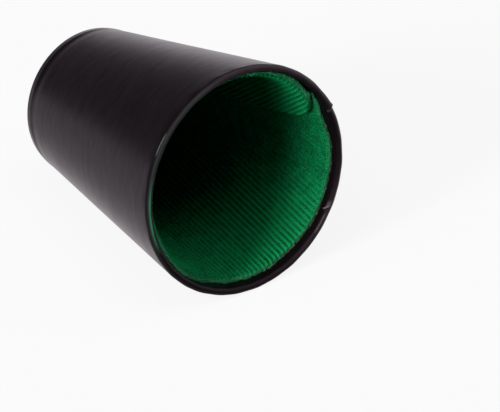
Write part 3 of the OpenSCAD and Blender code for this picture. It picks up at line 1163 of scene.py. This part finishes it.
def mirrored_group():
    """How bright the pale studio is in each direction, as it shows in the leather."""
    group, taken, given = new_group("mirrored_studio", {"Direction": "Vector"}, ("Floor", "Around"))
    way = taken["Direction"]

    def near_to(place):
        return vector_maths(group, "DOT_PRODUCT", way, direction(*place))

    # the floor is bright behind the cup and to the right, and grey elsewhere
    behind = near_to(BEHIND)
    bright = remap(group, behind, (0.74, 0.94), (FLOOR_GREY, 1.0))
    right = remap(group, near_to(TO_THE_RIGHT), (0.5, 0.95), (FLOOR_GREY, 0.95))
    group.links.new(maths(group, "MAXIMUM", bright, right), given["Floor"])
    # a pale wall behind the cup reaches a little above the horizon
    split = group.nodes.new("ShaderNodeSeparateXYZ")
    group.links.new(way, split.inputs[0])
    low = remap(group, split.outputs["Z"], (0.27, -0.04))
    near = remap(group, behind, (0.58, 0.78))
    wall = maths(group, "MULTIPLY", maths(group, "MULTIPLY", low, near), bright)
    # everything else is pale too, but for a dark corner beyond the left of the base
    clear = remap(group, near_to(DARK_CORNER), (0.9, 0.45))
    lit = remap(group, near_to(WINDOW), (0.0, 0.75), (0.25, 0.95))
    pale = maths(group, "MULTIPLY", clear, lit)
    group.links.new(maths(group, "MAXIMUM", wall, pale), given["Around"])
    return group


# The floor's thickness and the place of its middle, a hair below the cup
FLOOR_T = 5 * MM
FLOOR_AT = (0.1, 0.45, -2.6 * MM)
# Tones of the floor: as it is seen, the light that it throws back, and its tint in the leather
FLOOR_SEEN = (0.98, 0.98, 0.98, 1)
FLOOR_BOUNCE = (0.2, 0.2, 0.2, 1)
FLOOR_TINT = (1.0, 0.945, 0.98, 1)
WHITE = (1, 1, 1, 1)
# How much of the floor's seen brightness is its own glow, which keeps its shadows pale
FLOOR_GLOW = 0.88
# The shade on the floor in front of the mouth: its middle, and how far from it the shade is full and ends
SHADE_AT = (0.09, -0.005, 0)
SHADE_RANGE = (0.025, 0.08)


def white_floor(studio):
    """A white floor with pale shadows, which shows greyer in the leather than by itself."""
    material, tree, paint = new_material("white_floor")
    seen = tree.nodes.new("ShaderNodeLightPath").outputs
    colour = blend(tree, seen["Is Camera Ray"], FLOOR_BOUNCE, FLOOR_SEEN)
    tree.links.new(colour, paint.inputs["Base Color"])
    set_up(paint, Roughness=1.0, Specular_IOR_Level=0.0)
    arriving = tree.nodes.new("ShaderNodeNewGeometry").outputs["Incoming"]
    mirrored = place_group(tree, studio, Direction=vector_maths(tree, "MULTIPLY", arriving, (-1, -1, -1)))
    place = tree.nodes.new("ShaderNodeTexCoord").outputs["Object"]
    shaded = remap(tree, vector_maths(tree, "DISTANCE", place, SHADE_AT), SHADE_RANGE, (0.15, 1.0))
    grey = maths(tree, "MULTIPLY", mirrored["Floor"], shaded)
    glow = tree.nodes.new("ShaderNodeEmission")
    tint = blend(tree, seen["Is Glossy Ray"], WHITE, FLOOR_TINT)
    tree.links.new(tint, glow.inputs["Color"])
    tree.links.new(blend(tree, seen["Is Glossy Ray"], 1.0, grey, kind="FLOAT"), glow.inputs["Strength"])
    share = maths(tree, "MULTIPLY_ADD", seen["Is Camera Ray"], FLOOR_GLOW, seen["Is Glossy Ray"])
    surface = blend_shaders(tree, share, paint.outputs[0], glow.outputs[0])
    tree.links.new(surface, tree.nodes["Material Output"].inputs["Surface"])
    return material


WORLD_TINT = (1.0, 0.92, 0.975, 1)
WORLD_STRENGTH = 0.02


def studio_world(studio):
    """White where the camera sees it, dim as a light, and as the studio is in the leather's gloss."""
    world = bpy.data.worlds.new("studio")
    bpy.context.scene.world = world
    world.use_nodes = True
    tree = world.node_tree
    tree.nodes.clear()
    seen = tree.nodes.new("ShaderNodeLightPath").outputs
    way = tree.nodes.new("ShaderNodeTexCoord").outputs["Generated"]
    mirrored = place_group(tree, studio, Direction=way)
    strength = maths(tree, "MULTIPLY_ADD", mirrored["Around"], seen["Is Glossy Ray"], WORLD_STRENGTH)
    dim = add(tree, "ShaderNodeBackground", Color=WORLD_TINT)
    tree.links.new(strength, dim.inputs["Strength"])
    white = add(tree, "ShaderNodeBackground", Color=WHITE, Strength=1.0)
    surface = blend_shaders(tree, seen["Is Camera Ray"], dim.outputs[0], white.outputs[0])
    out = tree.nodes.new("ShaderNodeOutputWorld")
    tree.links.new(surface, out.inputs["Surface"])


def stage():
    studio = mirrored_group()
    bpy.ops.object.select_all(action="DESELECT")
    bpy.ops.mesh.primitive_cylinder_add(vertices=96, radius=0.85, depth=FLOOR_T, location=FLOOR_AT)
    floor = bpy.context.object
    floor.name = "floor"
    bpy.ops.object.transform_apply(location=True, rotation=True, scale=True)
    floor.data.materials.append(white_floor(studio))
    studio_world(studio)
    for values in LAMPS:
        lamp(*values)
    bpy.context.scene.view_settings.view_transform = "Standard"


camera()
stage()
LEATHER = black_leather()
CLOTH = green_ribbed_cloth()
BOARD = grey_board()

for hidden in ("wall_board", "base_board", "base_filler", "lining_card"):
    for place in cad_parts[hidden].material_slots:
        place.material = BOARD

leather_wall = wall_cover()
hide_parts("wall_cover")
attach(leather_wall, "root")

leather_base = base_cover()
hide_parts("base_cover")
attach(leather_base, "root")

sleeve = wall_lining()
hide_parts("wall_lining")
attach(sleeve, "root")

disc = base_lining()
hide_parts("base_lining")
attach(disc, "root")
